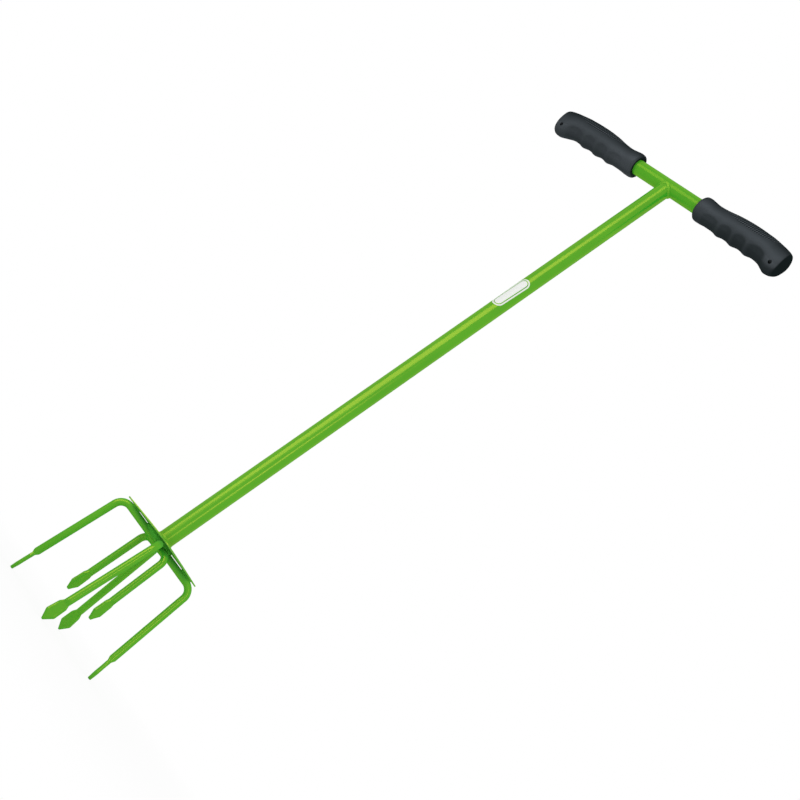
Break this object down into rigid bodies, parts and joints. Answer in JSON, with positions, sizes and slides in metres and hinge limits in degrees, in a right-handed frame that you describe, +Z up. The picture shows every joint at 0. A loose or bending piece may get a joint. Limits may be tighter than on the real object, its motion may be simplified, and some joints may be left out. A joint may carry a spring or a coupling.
{
  "type": "claw cultivator",
  "caption": "Upright twist cultivator: a straight tube with a T-handle and ridged rubber grips, over a bowed foot plate and a ring of downward tines with leaf-shaped tips.",
  "frame": {"origin": "on the ground between the tips of the long tines, on the shaft's axis", "axes": "+Z up the shaft from the tines to the handle, +X along the outer tine rod's crossbar; the handle is turned 35.9 degrees from X towards -Y at its right end"},
  "size_m": [0.3412, 0.257, 0.9967],
  "materials": {
    "green_paint": "glossy powder coat",
    "black_rubber": "soft matt rubber"
  },
  "bodies": {
    "root": {"shaft_tube": "green_paint", "handle_tube": "green_paint", "handle_weld": "green_paint", "shaft_foot_weld": "green_paint", "foot_plate": "green_paint", "hub_weld": "green_paint", "plate_weld_left": "green_paint", "plate_weld_right": "green_paint", "outer_tine_rod": "green_paint", "front_tine_rod": "green_paint", "back_tine_rod": "green_paint", "short_front_tine_rod": "green_paint", "short_back_tine_rod": "green_paint", "grip_left": "black_rubber", "grip_right": "black_rubber"}
  },
  "joints": []
}
